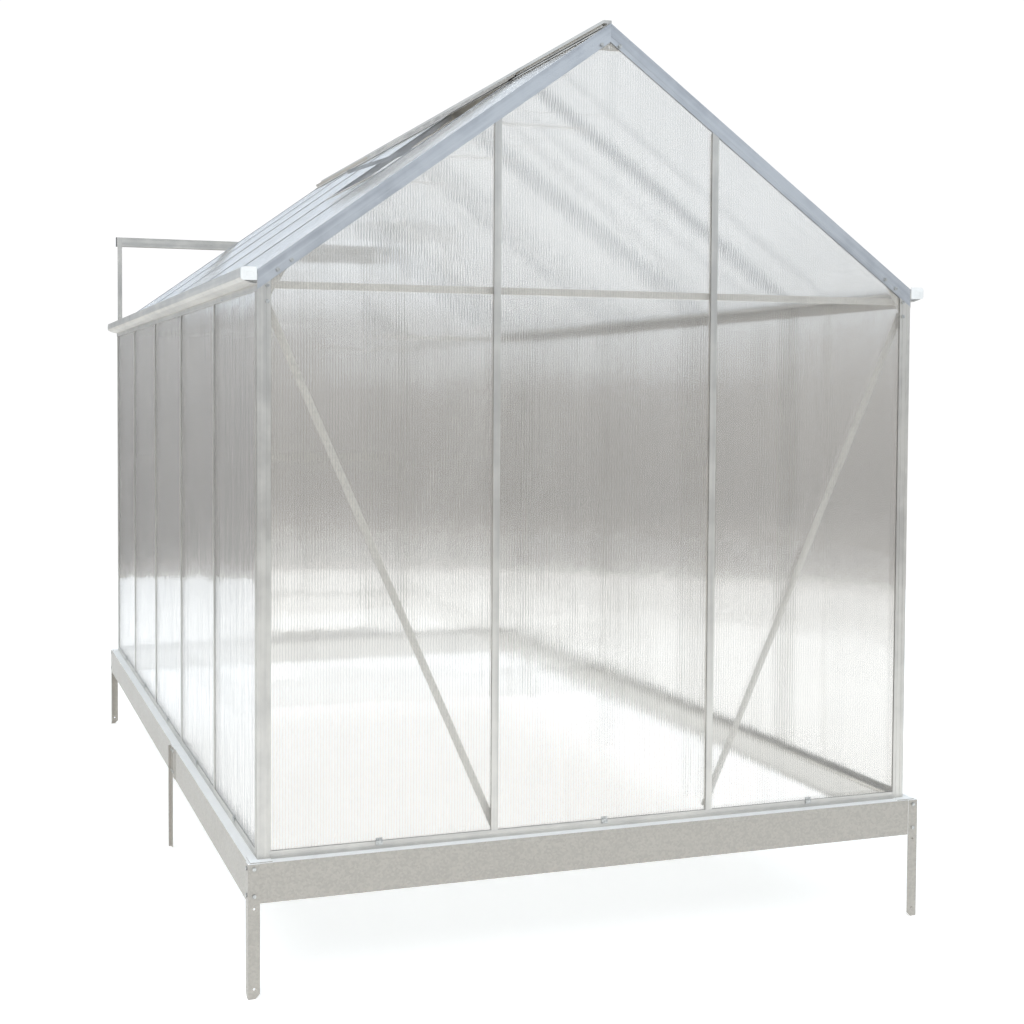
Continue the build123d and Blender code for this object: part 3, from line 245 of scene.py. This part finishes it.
def galvanisedSteel(name, tones):
    material = bpy.data.materials.new(name)
    shader = Shader(material)
    place = shader.place()
    wander = shader.noise(place, galvanised["wanderScale"], 2.0)
    flake, sheen, _ = shader.axes(shader.cells(place, galvanised["spangleScale"]))
    weather = shader.noise(place, galvanised["weatherScale"], 5.0, 0.6)
    worn, rounded = wornEdges(shader, galvanised["edgeRadius"])
    # Painted light: faces that look up and the inner faces of the rails are painted pale, standing in for
    # light from above and lifting the shade inside the rails
    facing = shader.node("ShaderNodeNewGeometry", output="Normal")
    foot = galvanised["railFoot"]
    aboveStakes = shader.remap(shader.axes(place)[2], foot - galvanised["railFade"], foot)
    inward = shader.remap(shader.dot(facing, place), *galvanised["inward"]) * aboveStakes
    paintedLight = shader.remap(shader.axes(facing)[2], *galvanised["upward"]) + inward
    spangle = shader.remap(flake * 0.45 + wander * 0.25 + weather * 0.3, *galvanised["contrast"])
    tone = shader.mixColour(spangle, *tones)
    tone = shader.mixColour(worn * galvanised["edgeWear"], tone, galvanised["worn"])
    tone = shader.mixColour(paintedLight, tone, galvanised["paintedLight"])
    roughness = galvanised["roughness"] + (sheen - 0.5) * 0.10 + (weather - 0.5) * 0.2 + paintedLight * 0.2
    metallic = galvanised["metallic"] - paintedLight * galvanised["metallic"]
    grain = shader.bump(flake + wander, galvanised["grainStrength"], galvanised["grainDepth"], rounded)
    shader.surface(baseColour=tone, roughness=roughness, metallic=metallic, normal=grain)
    return material


zinc = {
    "light": (0.62, 0.62, 0.60), "dark": (0.34, 0.34, 0.33), "worn": (0.78, 0.78, 0.76), "edgeWear": 0.6,
    "edgeRadius": 0.0004, "patchScale": 140.0, "roughness": 0.36, "patchRoughness": 0.3, "metallic": 0.9,
}


def zincPlate(name):
    material = bpy.data.materials.new(name)
    shader = Shader(material)
    place = shader.place()
    patches = shader.noise(place, zinc["patchScale"], 4.0, 0.6)
    worn, rounded = wornEdges(shader, zinc["edgeRadius"])
    tone = shader.mixColour(shader.remap(patches, 0.35, 0.65), zinc["dark"], zinc["light"])
    tone = shader.mixColour(worn * zinc["edgeWear"], tone, zinc["worn"])
    roughness = zinc["roughness"] + (patches - 0.5) * zinc["patchRoughness"]
    shader.surface(baseColour=tone, roughness=roughness, metallic=zinc["metallic"], normal=rounded)
    return material


plastic = {
    "white": ((0.84, 0.84, 0.82), (0.76, 0.76, 0.74)),
    "black": ((0.035, 0.035, 0.04), (0.02, 0.02, 0.022)),
    "edgeRadius": 0.0007, "edgeWear": 0.3, "edgeGain": 1.25, "edgeLift": 0.03,
    "grainScale": 900.0, "cloudScale": 22.0, "roughness": 0.42, "grainStrength": 0.2, "grainDepth": 0.0003,
}

def mouldedPlastic(name, colour, shade):
    material = bpy.data.materials.new(name)
    shader = Shader(material)
    place = shader.place()
    grain = shader.noise(place, plastic["grainScale"], 2.0)
    cloud = shader.noise(place, plastic["cloudScale"], 4.0)
    worn, rounded = wornEdges(shader, plastic["edgeRadius"])
    paler = tuple(min(1.0, part * plastic["edgeGain"] + plastic["edgeLift"]) for part in colour)
    tone = shader.mixColour(shader.remap(cloud, 0.3, 0.7), shade, colour)
    tone = shader.mixColour(worn * plastic["edgeWear"], tone, paler)
    roughness = plastic["roughness"] + (grain - 0.5) * 0.2 + (cloud - 0.5) * 0.2
    skin = shader.bump(grain, plastic["grainStrength"], plastic["grainDepth"], rounded)
    shader.surface(baseColour=tone, roughness=roughness, normal=skin)
    return material


# Twin-wall sheets, with their flutes in the mesh
flutes = {
    "pitch": 0.0075, "depth": 0.00016, "steps": 4,
    "weld": 0.000001, "flatAngle": 0.02, "flatFace": 0.9,
}
twinWall = {
    "clear": (0.985, 0.958, 0.922), "rib": (0.66, 0.65, 0.635), "ribWidth": (0.16, 0.04), "ribTone": 0.8,
    "filmScale": 3.0, "threads": (26.0, 26.0, 1.1), "threadTone": 0.3, "roughness": 0.06,
    "transmission": 0.93, "ior": 1.42, "bow": 0.35, "bowDepth": 0.012, "haze": 0.80,
}


def twinWallSheet(name, axis):
    material = bpy.data.materials.new(name)
    shader = Shader(material)
    place = shader.place()
    across = shader.axes(place)[axis]
    half = flutes["pitch"] / 2
    fromRib = shader.node("ShaderNodeMath", {"operation": "PINGPONG"}, {0: across, 1: half})
    rib = shader.remap(fromRib / half, *twinWall["ribWidth"])
    film = shader.noise(place, twinWall["filmScale"], 4.0, 0.55)
    threads = shader.noise(shader.vectorMath("MULTIPLY", place, twinWall["threads"]), 1.0, 3.0)
    shading = rib * twinWall["ribTone"] + (threads - 0.5) * twinWall["threadTone"]
    tone = shader.mixColour(shading, twinWall["clear"], twinWall["rib"])
    roughness = twinWall["roughness"] + (film - 0.5) * 0.10 + rib * 0.12 + (threads - 0.5) * 0.06
    bow = shader.bump(film + threads * 0.3, twinWall["bow"], twinWall["bowDepth"])
    cover = twinWall["haze"] + rib * (1.0 - twinWall["haze"])
    shader.surface(baseColour=tone, roughness=roughness, transmission=twinWall["transmission"],
                   ior=twinWall["ior"], normal=bow, alpha=cover)
    return material


def solidsOf(mesh):
    # The separate solids in a mesh, as sets of faces
    left = set(mesh.faces)
    while left:
        front = [left.pop()]
        solid = set(front)
        while front:
            for edge in front.pop().edges:
                for face in edge.link_faces:
                    if face in left:
                        left.discard(face)
                        solid.add(face)
                        front.append(face)
        yield solid


def flutedSheet(node, name, axis, normal, material):
    # Cuts a sheet into strips across its flutes and thins it between the ribs
    mesh = bmesh.new()
    mesh.from_mesh(nodes[node].data)
    bmesh.ops.remove_doubles(mesh, verts=mesh.verts, dist=flutes["weld"])
    bmesh.ops.dissolve_limit(mesh, angle_limit=flutes["flatAngle"], verts=mesh.verts, edges=mesh.edges)
    step = flutes["pitch"] / flutes["steps"]
    line = Vector((0, 0, 0))
    line[axis] = 1
    for solid in list(solidsOf(mesh)):
        rest = solid
        low = min(vert.co[axis] for face in solid for vert in face.verts)
        high = max(vert.co[axis] for face in solid for vert in face.verts)
        cut = (int(low / step) + (1 if low > 0 else 0)) * step
        while cut < high - step / 8:
            if cut > low + step / 8:
                parts = set(rest)
                for face in rest:
                    parts.update(face.edges)
                    parts.update(face.verts)
                made = bmesh.ops.bisect_plane(mesh, geom=list(parts), plane_co=line * cut, plane_no=line)
                faces = {part for part in made["geom"] if isinstance(part, bmesh.types.BMFace)}
                faces |= {face for face in rest if face.is_valid}
                rest = [face for face in faces if face.calc_center_median()[axis] > cut]
            cut += step
    bmesh.ops.recalc_face_normals(mesh, faces=mesh.faces)
    for face in mesh.faces:
        face.smooth = abs(face.normal.dot(normal)) > flutes["flatFace"]
    for edge in mesh.edges:
        edge.smooth = all(face.smooth for face in edge.link_faces)
    moves = {}
    for face in mesh.faces:
        if face.smooth:
            side = 1 if face.normal.dot(normal) > 0 else -1
            for vert in face.verts:
                swell = (1 - cos(2 * pi * vert.co[axis] / flutes["pitch"])) / 2
                moves[vert] = -side * flutes["depth"] * swell
    for vert, move in moves.items():
        vert.co += normal * move
    data = bpy.data.meshes.new(name)
    mesh.to_mesh(data)
    mesh.free()
    data.materials.append(material)
    sheet = bpy.data.objects.new(name, data)
    bpy.context.scene.collection.objects.link(sheet)
    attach(sheet, nodes[node]["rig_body"])
    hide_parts(node)


# Directions of the roof slopes, from the left slope's sheets
slopeLow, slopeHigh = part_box("left_roof_sheets")
slopeSize = slopeHigh - slopeLow
slopeLength = (slopeSize.x ** 2 + slopeSize.z ** 2) ** 0.5
rise = Vector((slopeSize.x, 0, slopeSize.z)) / slopeLength
leftOut = Vector((-rise.z, 0, rise.x))
rightOut = Vector((rise.z, 0, rise.x))


def plateNormal(node, near):
    # The true normal of a node's biggest face, turned to the same side as near
    best = max(nodes[node].data.polygons, key=lambda face: face.area)
    normal = best.normal.copy()
    return normal if normal.dot(near) > 0 else -normal


gableSheet = twinWallSheet("twin_wall_across_x", 0)
sideSheet = twinWallSheet("twin_wall_across_y", 1)
sheetPlan = [
    ("back_left_sheet", "back_left_fluted", 0, Vector((0, -1, 0))),
    ("back_middle_sheet", "back_middle_fluted", 0, Vector((0, -1, 0))),
    ("back_right_sheet", "back_right_fluted", 0, Vector((0, -1, 0))),
    ("door_side_sheets", "door_side_fluted", 0, Vector((0, 1, 0))),
    ("over_door_sheet", "over_door_fluted", 0, Vector((0, 1, 0))),
    ("door_sheets", "door_fluted", 0, Vector((0, 1, 0))),
    ("left_wall_sheets", "left_wall_fluted", 1, Vector((-1, 0, 0))),
    ("right_wall_sheets", "right_wall_fluted", 1, Vector((1, 0, 0))),
    ("left_roof_sheets", "left_roof_fluted", 1, leftOut),
    ("right_roof_sheets", "right_roof_fluted", 1, rightOut),
    ("vent_sheet", "vent_fluted", 1, leftOut),
]
for node, name, axis, near in sheetPlan:
    material = gableSheet if axis == 0 else sideSheet
    flutedSheet(node, name, axis, plateNormal(node, near), material)
print("fluted sheets made:", len(sheetPlan))


# Finishes of the bars, base and fittings
leftRise = (rise.x, 0.0, rise.z)
rightRise = (-rise.x, 0.0, rise.z)
upright = extrudedAluminium("aluminium_upright", (0.0, 0.0, 1.0))
crosswise = extrudedAluminium("aluminium_crosswise", (1.0, 0.0, 0.0))
lengthwise = extrudedAluminium("aluminium_lengthwise", (0.0, 1.0, 0.0))
# The roof-slope bars take the slope tint: a painted sky reflection and painted shade, bluer and darker than
# the other bars
leftSlope = extrudedAluminium("aluminium_left_slope", leftRise, aluminium["paintedSkyReflection"])
rightSlope = extrudedAluminium("aluminium_right_slope", rightRise, aluminium["paintedSkyReflection"])
steel = galvanisedSteel("galvanised_base", galvanised["base"])
# A lighter copy of the galvanised finish for the parts inside the house: painted light making up for the
# shade there
insideSteel = galvanisedSteel("galvanised_inside", galvanised["inside"])
plated = zincPlate("zinc_fittings")
whitePlastic = mouldedPlastic("white_caps", *plastic["white"])
blackPlastic = mouldedPlastic("black_fittings", *plastic["black"])

finishes = [
    (upright, ["back_left_post", "back_right_post", "door_left_post", "door_right_post", "back_studs",
               "door_jambs", "left_studs", "right_studs", "door_stiles", "track_supports"]),
    (crosswise, ["back_sill", "door_sill", "door_header", "door_track", "door_guide", "door_rails"]),
    (lengthwise, ["left_sill", "right_sill", "left_gutter", "right_gutter", "ridge_beam", "vent_sill",
                  "vent_frame"]),
    (leftSlope, ["back_left_rafter", "door_left_rafter", "left_roof_bars", "vent_stay"]),
    (rightSlope, ["back_right_rafter", "door_right_rafter", "right_roof_bars"]),
    (steel, ["back_rail", "door_rail", "left_rails", "right_rails", "stakes", "base_plates", "door_hangers"]),
    (insideSteel, ["gussets", "gable_braces", "crossbars", "roof_ties"]),
    (plated, ["base_bolts", "frame_bolts", "sheet_clips"]),
    (whitePlastic, ["gutter_end_caps"]),
    (blackPlastic, ["track_end_caps", "left_roller", "right_roller", "door_handle"]),
]
for material, names in finishes:
    for name in names:
        slots = nodes[name].data.materials
        slots.clear()
        slots.append(material)
print("finishes given to", sum(len(names) for _, names in finishes), "frame pieces")


# Floor, light and camera
studio = {
    "floorRadius": 7.0, "floorColour": (0.92, 0.915, 0.895), "floorGlow": 0.38,
    "glowColour": (1.0, 0.98, 0.94),
    "sky": (0.86, 0.94, 1.03), "skyStrength": 1.04, "ground": (0.94, 0.93, 0.905),
    "floorShade": 0.985, "lampPower": 170.0, "lampSize": 5.0,
    "lampPlace": (-4.5, -6.0, 6.5), "lampAim": (0.0, 0.0, 1.0),
}
horizon = {
    "low": (0.315, 0.315, 0.315), "high": (0.41, 0.415, 0.42), "spot": (0.85, 0.84, 0.82),
    "foot": (-0.105, -0.150), "top": (0.052, 0.070), "climb": (-0.08, 0.05),
    "driftScale": 1.8, "drift": 0.04, "dipAt": 0.43, "dipWidth": (0.012, 0.003), "dip": 0.045,
    "spotScale": (20.0, 20.0, 9.0), "spots": (0.56, 0.74, 0.0, 0.55),
}


def makeFloor():
    mesh = bmesh.new()
    bmesh.ops.create_circle(mesh, cap_ends=True, segments=96, radius=studio["floorRadius"])
    data = bpy.data.meshes.new("studio_floor")
    mesh.to_mesh(data)
    mesh.free()
    floor = bpy.data.objects.new("studio_floor", data)
    floor.location.z = cadBox[0][2]
    bpy.context.scene.collection.objects.link(floor)
    material = bpy.data.materials.new("studio_floor")
    shader = Shader(material)
    mottle = shader.noise(shader.place(), 3.0, 3.0)
    low = tuple(part * studio["floorShade"] for part in studio["floorColour"])
    tone = shader.mixColour(mottle, low, studio["floorColour"])
    shader.surface(baseColour=tone, roughness=0.85, emission=studio["glowColour"],
                   emissionStrength=studio["floorGlow"])
    data.materials.append(material)


def makeWorld():
    # White to the camera; elsewhere sky over a soft grey horizon over pale ground
    world = bpy.data.worlds.new("studio")
    bpy.context.scene.world = world
    shader = Shader(world)
    direction = shader.node("ShaderNodeTexCoord", output="Generated")
    sideways, _, height = shader.axes(direction)
    drift = shader.noise(direction, horizon["driftScale"], 2.0)
    spots = shader.noise(shader.vectorMath("MULTIPLY", direction, horizon["spotScale"]), 1.0, 2.0)
    fromDip = sideways - horizon["dipAt"]
    dip = shader.remap(fromDip * fromDip, *horizon["dipWidth"])
    edge = height - (drift - 0.5) * horizon["drift"] + dip * horizon["dip"]
    aboveBand = shader.remap(edge, *horizon["top"])
    belowBand = shader.remap(height, *horizon["foot"])
    lights = shader.remap(spots, *horizon["spots"])
    climb = shader.remap(height, *horizon["climb"])
    band = shader.mixColour(climb, horizon["low"], horizon["high"])
    band = shader.mixColour(lights, band, horizon["spot"])
    tone = shader.mixColour(aboveBand, band, studio["sky"])
    tone = shader.mixColour(belowBand, tone, studio["ground"])
    seen = shader.node("ShaderNodeLightPath", output="Is Camera Ray")
    tone = shader.mixColour(seen, tone, (1.0, 1.0, 1.0))
    light = shader.node("ShaderNodeBackground", sockets={"Color": tone, "Strength": studio["skyStrength"]})
    shader.node("ShaderNodeOutputWorld", sockets={"Surface": light})


def makeLamp():
    data = bpy.data.lights.new("soft_lamp", "AREA")
    data.shape = "DISK"
    data.size = studio["lampSize"]
    data.energy = studio["lampPower"]
    lamp = bpy.data.objects.new("soft_lamp", data)
    lamp.location = studio["lampPlace"]
    aim = Vector(studio["lampAim"]) - lamp.location
    lamp.rotation_euler = aim.to_track_quat("-Z", "Y").to_euler()
    bpy.context.scene.collection.objects.link(lamp)


viewpoint = {
    "place": Vector((-1.6753, -5.0715, 1.5006)), "turn": 0.3143, "tilt": -0.0344, "roll": 0.0039,
    "lens": 50.75, "shift": (0.0922, -0.0659), "far": 100.0,
}


def makeCamera():
    turn, tilt, roll = viewpoint["turn"], viewpoint["tilt"], viewpoint["roll"]
    level = Vector((cos(turn), -sin(turn), 0))
    ahead = Vector((sin(turn), cos(turn), 0))
    forward = ahead * cos(tilt) + Vector((0, 0, sin(tilt)))
    upward = Vector((0, 0, cos(tilt))) - ahead * sin(tilt)
    right = level * cos(roll) + upward * sin(roll)
    top = upward * cos(roll) - level * sin(roll)
    data = bpy.data.cameras.new("camera")
    data.lens = viewpoint["lens"]
    data.shift_x, data.shift_y = viewpoint["shift"]
    data.clip_end = viewpoint["far"]
    camera = bpy.data.objects.new("camera", data)
    turned = Matrix((right, top, -forward)).transposed().to_4x4()
    camera.matrix_world = Matrix.Translation(viewpoint["place"]) @ turned
    bpy.context.scene.collection.objects.link(camera)
    bpy.context.scene.camera = camera


makeFloor()
makeWorld()
makeLamp()
makeCamera()
bpy.context.scene.view_settings.view_transform = "Standard"
print("studio ready")
